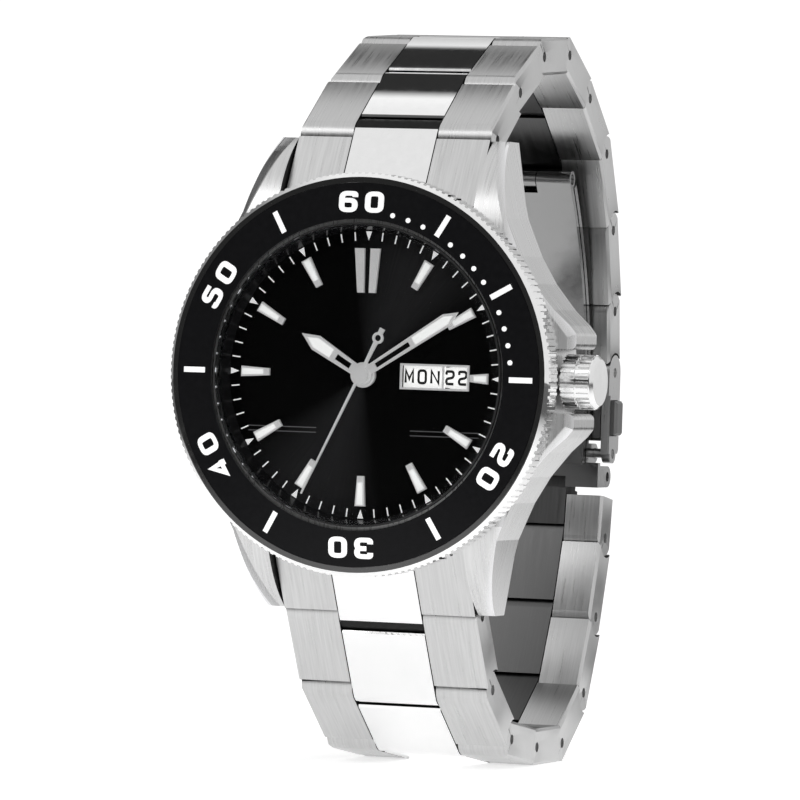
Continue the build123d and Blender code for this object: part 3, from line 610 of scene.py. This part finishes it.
# ---------------------------------------------------------------- stroke lettering
# Strokes of each character in a box 0.66 wide and 1 high: (points, whether the stroke closes on itself).
LEFT, RIGHT, LOW, HIGH, WAIST = 0.0, 0.66, 0.0, 1.0, 0.52
ROUND = 0.26
GLYPHS = {
    "0": [([(LEFT, LOW), (RIGHT, LOW), (RIGHT, HIGH), (LEFT, HIGH)], True)],
    "1": [([(0.12, 0.78), (0.40, HIGH), (0.40, LOW)], False)],
    "2": [([(LEFT, 0.74), (LEFT, HIGH), (RIGHT, HIGH), (RIGHT, WAIST), (LEFT, 0.40), (LEFT, LOW),
            (RIGHT, LOW)], False)],
    "3": [([(LEFT, 0.76), (LEFT, HIGH), (RIGHT, HIGH), (RIGHT, WAIST), (0.2, WAIST)], False),
          ([(0.2, WAIST), (RIGHT, WAIST), (RIGHT, LOW), (LEFT, LOW), (LEFT, 0.24)], False)],
    "4": [([(0.50, LOW), (0.50, HIGH), (LEFT, 0.26), (RIGHT, 0.26)], False)],
    "5": [([(RIGHT, HIGH), (LEFT, HIGH), (LEFT, 0.56), (RIGHT, 0.60), (RIGHT, LOW), (LEFT, LOW),
            (LEFT, 0.20)], False)],
    "6": [([(RIGHT, 0.78), (RIGHT, HIGH), (LEFT, HIGH), (LEFT, LOW), (RIGHT, LOW), (RIGHT, 0.58),
            (0.04, 0.58)], False)],
    "7": [([(LEFT, HIGH), (RIGHT, HIGH), (0.24, LOW)], False)],
    "8": [([(LEFT, WAIST), (RIGHT, WAIST), (RIGHT, HIGH), (LEFT, HIGH)], True),
          ([(LEFT, LOW), (RIGHT, LOW), (RIGHT, WAIST), (LEFT, WAIST)], True)],
    "9": [([(LEFT, 0.22), (LEFT, LOW), (RIGHT, LOW), (RIGHT, HIGH), (LEFT, HIGH), (LEFT, 0.42),
            (0.62, 0.42)], False)],
    "A": [([(LEFT, LOW), (0.33, HIGH), (RIGHT, LOW)], False), ([(0.14, 0.34), (0.52, 0.34)], False)],
    "D": [([(LEFT, LOW), (0.56, LOW), (RIGHT, 0.2), (RIGHT, 0.8), (0.56, HIGH), (LEFT, HIGH)], True)],
    "E": [([(RIGHT, HIGH), (LEFT, HIGH), (LEFT, LOW), (RIGHT, LOW)], False),
          ([(LEFT, 0.5), (0.5, 0.5)], False)],
    "F": [([(RIGHT, HIGH), (LEFT, HIGH), (LEFT, LOW)], False), ([(LEFT, 0.5), (0.5, 0.5)], False)],
    "H": [([(LEFT, LOW), (LEFT, HIGH)], False), ([(RIGHT, LOW), (RIGHT, HIGH)], False),
          ([(LEFT, 0.5), (RIGHT, 0.5)], False)],
    "I": [([(0.33, LOW), (0.33, HIGH)], False)],
    "M": [([(LEFT, LOW), (LEFT, HIGH), (0.33, 0.3), (RIGHT, HIGH), (RIGHT, LOW)], False)],
    "N": [([(LEFT, LOW), (LEFT, HIGH), (RIGHT, LOW), (RIGHT, HIGH)], False)],
    "O": [([(LEFT, LOW), (RIGHT, LOW), (RIGHT, HIGH), (LEFT, HIGH)], True)],
    "R": [([(LEFT, LOW), (LEFT, HIGH), (RIGHT, HIGH), (RIGHT, 0.5), (LEFT, 0.5)], False),
          ([(0.3, 0.5), (RIGHT, LOW)], False)],
    "S": [([(RIGHT, 0.8), (RIGHT, HIGH), (LEFT, HIGH), (LEFT, WAIST), (RIGHT, WAIST), (RIGHT, LOW),
            (LEFT, LOW), (LEFT, 0.2)], False)],
    "T": [([(LEFT, HIGH), (RIGHT, HIGH)], False), ([(0.33, HIGH), (0.33, LOW)], False)],
    "U": [([(LEFT, HIGH), (LEFT, LOW), (RIGHT, LOW), (RIGHT, HIGH)], False)],
    "W": [([(LEFT, HIGH), (0.16, LOW), (0.33, 0.7), (0.50, LOW), (RIGHT, HIGH)], False)],
}
SHARP = set("14ADEFHIMNTW7")     # drawn without rounded corners


def rounded(points, closed, radius, steps=5):
    """Replace the corners of a path with arcs."""
    result = []
    count = len(points)
    for i, point in enumerate(points):
        if not closed and i in (0, count - 1):
            result.append(point)
            continue
        before, after = Vector(points[i - 1]), Vector(points[(i + 1) % count])
        corner = Vector(point)
        to_before, to_after = before - corner, after - corner
        reach = min(radius, to_before.length * 0.48, to_after.length * 0.48)
        start = corner + to_before.normalized() * reach
        end = corner + to_after.normalized() * reach
        for step in range(steps + 1):
            t = step / steps
            bent = start * (1 - t) ** 2 + corner * 2 * t * (1 - t) + end * t ** 2
            result.append((bent.x, bent.y))
    return result


def band_quads(points, closed, half):
    """Quads along a path, mitred at its corners."""
    count = len(points)
    sides = []
    for i in range(count):
        here = Vector(points[i])
        before = Vector(points[i - 1]) if closed or i > 0 else here
        after = Vector(points[(i + 1) % count]) if closed or i < count - 1 else here
        into = (here - before).normalized() if (here - before).length > 1e-9 else (after - here).normalized()
        out = (after - here).normalized() if (after - here).length > 1e-9 else into
        normal = Vector((-(into + out).y, (into + out).x)).normalized()
        grow = half / max(0.5, normal.dot(Vector((-into.y, into.x))))
        sides.append((here + normal * grow, here - normal * grow))
    quads = []
    last = count if closed else count - 1
    for i in range(last):
        a, b = sides[i], sides[(i + 1) % count]
        quads.append([(a[0].x, a[0].y), (b[0].x, b[0].y), (b[1].x, b[1].y), (a[1].x, a[1].y)])
    return quads


def letters(text, height, weight, gap=0.30):
    """Quads of a word centred on the origin, with the given cap height and stroke weight."""
    scale = height - weight
    advance = RIGHT + gap + weight / scale
    width = advance * (len(text) - 1) + RIGHT
    quads = []
    for index, char in enumerate(text):
        shift = index * advance - width / 2
        for points, closed in GLYPHS[char]:
            path = points if char in SHARP else rounded(points, closed, ROUND)
            placed = [((x + shift) * scale, (z - 0.5) * scale) for x, z in path]
            quads += band_quads(placed, closed, weight / 2)
    return quads


# ---------------------------------------------------------------- markings on the watch head
MINUTE, HOUR = 6, 30             # degrees
NUMERAL_RADIUS, NUMERAL_HEIGHT, NUMERAL_WEIGHT, NUMERAL_STRETCH = 18.25, 2.25, 0.50, 1.28
BAR_INNER, BAR_OUTER, BAR_HALF = 17.1, 19.6, 0.29
DOT_PLACE, DOT_R = 17.25, 0.27
MARKER_INNER, MARKER_OUTER = 11.4, 13.75
TRACK_INNER, TICK_OUTER, ARROW_OUTER = 14.25, 15.15, 15.2
HOUR_HAND_ANGLE, MINUTE_HAND_ANGLE = -59, 57
CALENDAR_HEIGHT, CALENDAR_WEIGHT = 1.60, 0.28
DATE_RADIUS, DATE_STRETCH = 10.08, 0.92
DAY_RADIUS, DAY_STRETCH = 6.25, 0.93
SHOWN_DATE = 22
WEEKDAYS = ("MON", "TUE", "WED", "THU", "FRI", "SAT", "SUN")     # the first one shows at rest


def bezel_markings():
    """Numerals on every tenth minute but the tenth, bars on the other fives and dots up to a quarter."""
    sheet = Sheet(insert_surface, PRINT)
    for minute, text in ((0, "60"), (20, "20"), (30, "30"), (40, "40"), (50, "50")):
        for quad in letters(text, NUMERAL_HEIGHT, NUMERAL_WEIGHT, gap=0.36):
            wide = [(x * NUMERAL_STRETCH, z + NUMERAL_RADIUS) for x, z in quad]
            sheet.outline(turn(wide, minute * MINUTE))
    for minute in (5, 10, 15, 25, 35, 45, 55):
        sheet.outline(turn(bar(BAR_HALF, BAR_INNER, BAR_OUTER), minute * MINUTE))
    for minute in range(2, 15):
        if minute % 5:
            sheet.outline(turn(circle(0, DOT_PLACE, DOT_R), minute * MINUTE))
    sheet.make("bezel_numerals", WHITE_PRINT, "bezel")


def minute_track():
    """A tick for each minute and an arrowhead for each hour round the dial, and two pairs of thin lines."""
    sheet = Sheet(flat(DIAL_Y), PRINT)
    tick = bar(0.065, TRACK_INNER, TICK_OUTER)
    arrow = [(0.0, TRACK_INNER), (0.33, ARROW_OUTER), (-0.33, ARROW_OUTER)]
    for minute in range(60):
        sheet.outline(turn(tick if minute % 5 else arrow, minute * MINUTE))
    sheet.make("minute_track", WHITE_PRINT, "case")
    lines = Sheet(flat(DIAL_Y), PRINT)
    start, end, half = 5.3, 13.0, 0.05
    for side in (-1, 1):
        for height in (-5.75, -6.25):
            lines.outline([(side * start, height - half), (side * end, height - half),
                           (side * end, height + half), (side * start, height + half)])
    lines.make("dial_pinstripes", GREY_PRINT, "case")


def marker_lume():
    """Paint on each hour's marker, with a shorter one at 3 o'clock, beside the window, and none at 12."""
    sheet = Sheet(flat(MARKER_Y), LUME)
    for hour in (1, 2, 4, 5, 6, 7, 8, 9, 10, 11):
        sheet.outline(turn(bar(0.24, MARKER_INNER, MARKER_OUTER, 0.34), hour * HOUR))
    sheet.outline(turn(bar(0.26, MARKER_INNER + 1.0, MARKER_OUTER, 0.32), 3 * HOUR))
    sheet.make("marker_lume", LUME_WHITE, "case")


def pointed_bar(half, start, shoulder_half, shoulder, tip):
    """A bar that widens to its shoulder and ends in a point."""
    return [(-half, start), (half, start), (shoulder_half, shoulder), (0, tip), (-shoulder_half, shoulder)]


def hand_lume():
    hour = Sheet(flat(HOUR_HAND_Y), LUME)
    hour.outline(turn(pointed_bar(0.50, 4.2, 0.56, 6.3, 7.4), HOUR_HAND_ANGLE))
    hour.make("hour_hand_lume", LUME_WHITE, "hour_hand")
    minute = Sheet(flat(MINUTE_HAND_Y), LUME)
    minute.outline(turn(pointed_bar(0.42, 6.9, 0.46, 11.1, 12.0), MINUTE_HAND_ANGLE))
    minute.make("minute_hand_lume", LUME_WHITE, "minute_hand")


def ring_of_words(sheet, words, radius, stretch, shown):
    """Words spread evenly round a calendar disc, with the shown one upright at 3 o'clock."""
    for index, word in enumerate(words):
        turned = (index - shown) * 360 / len(words)
        for quad in letters(word, CALENDAR_HEIGHT, CALENDAR_WEIGHT):
            sheet.outline(turn([(x * stretch + radius, z) for x, z in quad], turned))


def calendar_print():
    dates = Sheet(flat(DISC_Y), PRINT)
    ring_of_words(dates, [str(day) for day in range(1, 32)], DATE_RADIUS, DATE_STRETCH, SHOWN_DATE - 1)
    dates.make("date_print", BLACK_PRINT, "date_disc")
    days = Sheet(flat(DISC_Y), PRINT)
    ring_of_words(days, WEEKDAYS, DAY_RADIUS, DAY_STRETCH, 0)
    days.make("day_print", BLACK_PRINT, "day_disc")


# ---------------------------------------------------------------- studio
def area_light(name, place, target, size, radiance):
    """A softbox whose face shines with a given brightness, where 1 is white."""
    light = bpy.data.lights.new(name, "AREA")
    light.shape = "RECTANGLE"
    light.size, light.size_y = size
    light.energy = radiance * math.pi * size[0] * size[1]
    lamp = bpy.data.objects.new(name, light)
    lamp.location = place
    lamp.rotation_euler = (Vector(target) - Vector(place)).to_track_quat("-Z", "Y").to_euler()
    bpy.context.scene.collection.objects.link(lamp)


# Brightness of the room against the angle from the front horizon (0) over the zenith (90) to the back.
ROOM = ((-180, 0.25), (-30, 0.25), (-16, 0.02), (12, 0.02), (20, 0.45), (34, 0.75), (60, 0.85), (104, 0.95),
        (113, 1.05), (118, 0.03), (136, 0.03), (139, 0.90), (144, 0.70), (158, 0.40), (180, 0.35))


def studio():
    """A white tent with dark cards level with the dial and behind the top, a grey screen on the left
    and a bright card on the right."""
    world = bpy.data.worlds.new("studio")
    bpy.context.scene.world = world
    world.use_nodes = True
    tree = world.node_tree
    x, y, z = coordinates(tree, "Generated")
    angle = math_node(tree, "ARCTAN2", z, math_node(tree, "MULTIPLY", y, -1.0))
    round_room = map_range(tree, angle, -math.pi, math.pi)
    room = ramp(tree, round_room, tuple(((degrees + 180) / 360, grey) for degrees, grey in ROOM))
    rightward = map_range(tree, x, -0.05, 0.25, kind="SMOOTHSTEP")
    with_card = mix(tree, rightward, room, (0.85, 0.85, 0.85, 1))
    leftward = map_range(tree, x, -0.45, -0.85, kind="SMOOTHSTEP")
    with_screen = mix(tree, leftward, with_card, (0.25, 0.25, 0.25, 1))
    path = node(tree, "ShaderNodeLightPath")
    seen = mix(tree, path.outputs["Is Camera Ray"], with_screen, (1.1, 1.1, 1.1, 1))
    tree.links.new(seen, tree.nodes["Background"].inputs["Color"])
    area_light("key_softbox", (-0.40, -0.50, 0.45), (0, 0, 0), (0.35, 0.35), 2.0)
    bpy.context.scene.view_settings.view_transform = "Standard"


def floor_white():
    """A floor that the camera sees as plain white, and that reflections see as a pool of light."""
    material, tree, shader = new_material("floor_white")
    coords = node(tree, "ShaderNodeTexCoord")
    away = node(tree, "ShaderNodeVectorMath", operation="LENGTH")
    tree.links.new(coords.outputs["Object"], away.inputs[0])
    lit_to, dark_from = 0.08, 0.195      # metres from the middle
    pool = ramp(tree, away.outputs["Value"], ((lit_to, 1.0), (dark_from, 0.10)))
    path = node(tree, "ShaderNodeLightPath")
    seen = mix(tree, path.outputs["Is Camera Ray"], pool, (1, 1, 1, 1))
    mottle = shades(tree, noise(tree, 6.0, 3.0), 0.90, 0.93)
    set_surface(tree, shader, mix(tree, 1.0, mottle, seen, "MULTIPLY"), 0.8)
    shader.inputs["Specular IOR Level"].default_value = 0.0
    tree.links.new(seen, shader.inputs["Emission Color"])
    shader.inputs["Emission Strength"].default_value = 0.5
    return material


def floor():
    mesh = bpy.data.meshes.new("floor")
    reach = 1.2
    rim = circle(0.0, 0.0, reach, count=64)
    mesh.from_pydata([(x, y, 0.0) for x, y in rim], [], [list(range(len(rim)))])
    mesh.materials.append(floor_white())
    sheet = bpy.data.objects.new("floor", mesh)
    sheet.location.z = CAD_BOX[0][2]
    bpy.context.scene.collection.objects.link(sheet)
    for body, place in low_points():
        keep_below(sheet, body, place)


def low_points():
    """(body, (y, z)) of the pins that can come to hang lowest when the bracelet is opened."""
    names = ["lower_row_" + str(number) for number in range(1, 9)]
    last = row_of(names[-1])
    clasp_pin = last.pin + last.along * last.pitch
    pins = [(name, row_of(name).pin) for name in names]
    return pins + [(names[-1], clasp_pin), ("fold_blade_inner", clasp_pin)]


def keep_below(sheet, body, place):
    """The floor sinks, if it must, to stay under a link's thickness below a point that rides on a body."""
    mark = bpy.data.objects.new("low_point_" + body, None)
    mark.location = (0, place[0] * MM, place[1] * MM)
    bpy.context.scene.collection.objects.link(mark)
    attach(mark, body)
    rule = sheet.constraints.new("FLOOR")
    rule.target = mark
    rule.floor_location = "FLOOR_NEGATIVE_Z"
    rule.offset = -LINK_R * MM


def camera():
    """A long lens from the crown side, almost level with the dial, with the watch leaning slightly."""
    yaw, pitch, roll = math.radians(20), math.radians(0.6), math.radians(1.8)
    distance, shift_across, shift_down = 0.700, 3.81 * MM, 2.65 * MM
    centre = Vector((0, -9.6 * MM, 0))
    back = Vector((math.sin(yaw) * math.cos(pitch), -math.cos(yaw) * math.cos(pitch), math.sin(pitch)))
    right = Vector((math.cos(yaw), math.sin(yaw), 0))
    up = back.cross(right)
    across = right * math.cos(roll) + up * math.sin(roll)
    upward = up * math.cos(roll) - right * math.sin(roll)
    place = centre + back * distance + across * shift_across - upward * shift_down
    data = bpy.data.cameras.new("camera")
    data.lens = 297.7
    data.sensor_width = 36
    data.clip_start = 0.01
    lens = bpy.data.objects.new("camera", data)
    lens.matrix_world = Matrix(((across.x, upward.x, back.x, place.x), (across.y, upward.y, back.y, place.y),
                                (across.z, upward.z, back.z, place.z), (0, 0, 0, 1)))
    bpy.context.scene.collection.objects.link(lens)
    bpy.context.scene.camera = lens


finish_nodes()
bezel_markings()
minute_track()
marker_lume()
hand_lume()
calendar_print()
floor()
studio()
camera()
